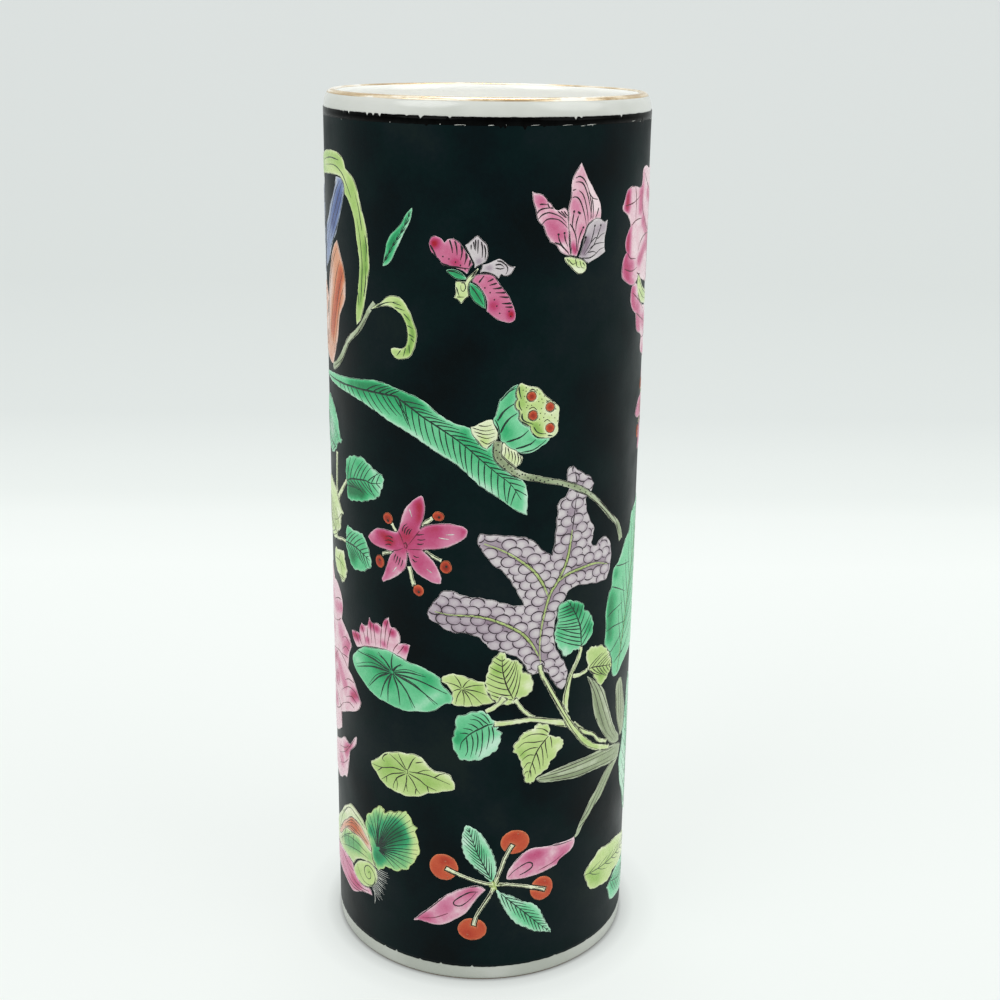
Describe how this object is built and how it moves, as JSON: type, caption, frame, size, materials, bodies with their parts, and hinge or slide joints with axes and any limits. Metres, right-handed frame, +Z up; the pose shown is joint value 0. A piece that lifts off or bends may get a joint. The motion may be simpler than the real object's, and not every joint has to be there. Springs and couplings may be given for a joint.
{
  "type": "porcelain hat stand",
  "caption": "Straight open porcelain cylinder on a turned foot, glazed white at lip and foot, with a black ground, raised enamel flowers and butterflies, and a gilt rim.",
  "frame": {"origin": "centre of the foot's contact ring, on the surface that the stand rests on", "axes": "+Z up along the cylinder's axis, the painted front seen in the picture faces -Y"},
  "size_m": [0.1024, 0.1024, 0.2876],
  "materials": {
    "porcelain": "bare fired porcelain, matt",
    "clear_glaze": "glossy white glaze with a faint grey-green tint",
    "black_enamel": "satin black overglaze enamel",
    "gilding": "worn soft gold",
    "green_enamel": "glossy translucent green enamel",
    "lime_enamel": "glossy yellow-green enamel",
    "rose_enamel": "glossy rose enamel shaded to white",
    "lilac_enamel": "glossy pale lilac enamel",
    "iron_red_enamel": "iron-red enamel",
    "olive_enamel": "glossy grey-olive enamel",
    "blue_enamel": "glossy blue enamel",
    "orange_enamel": "glossy orange enamel"
  },
  "bodies": {
    "root": {"wall_body": "porcelain", "base_disc": "porcelain", "foot_ring": "porcelain", "outer_glaze": "clear_glaze", "inner_glaze": "clear_glaze", "underside_glaze": "clear_glaze", "black_ground": "black_enamel", "gilt_rim": "gilding", "butterfly_body": "lime_enamel", "butterfly_green_wings": "green_enamel", "butterfly_rose_wings": "rose_enamel", "butterfly_lilac_wings": "lilac_enamel", "moth_body": "lime_enamel", "moth_lilac_wing": "lilac_enamel", "moth_pink_wings": "rose_enamel", "sprig_leaf": "green_enamel", "arching_leaf": "lime_enamel", "curl_leaf": "lime_enamel", "iris_blue_petals": "blue_enamel", "iris_orange_petals": "orange_enamel", "iris_stem": "olive_enamel", "pod_seeds": "iron_red_enamel", "pod_face": "lime_enamel", "pod_cup": "green_enamel", "pod_stem": "olive_enamel", "pod_collar": "lime_enamel", "long_leaf": "green_enamel", "spray_stems": "lime_enamel", "spray_lime_leaves": "lime_enamel", "spray_green_leaves": "green_enamel", "grass_blades": "olive_enamel", "scaled_leaf": "lilac_enamel", "lily_buds": "iron_red_enamel", "lily_petals": "rose_enamel", "lily_stalks": "lime_enamel", "side_leaves": "green_enamel", "side_lime_leaf": "lime_enamel", "side_stems": "lime_enamel", "lotus_pad": "green_enamel", "lotus_flower": "rose_enamel", "small_pad": "lime_enamel", "rose_head": "rose_enamel", "rose_low_petal": "rose_enamel", "tall_leaf": "green_enamel", "floating_pad": "lime_enamel", "shell_fan": "green_enamel", "shell_frill": "orange_enamel", "shell_spiral": "lime_enamel", "shell_body": "green_enamel", "shell_foot": "rose_enamel", "berry_stalks": "lime_enamel", "berry_leaves": "green_enamel", "berry_petals": "rose_enamel", "berries": "iron_red_enamel", "corner_leaf": "lime_enamel", "corner_teal_leaf": "green_enamel", "shore_leaf": "green_enamel", "peony_calyx": "lime_enamel", "peony_petals": "rose_enamel"}
  },
  "joints": []
}
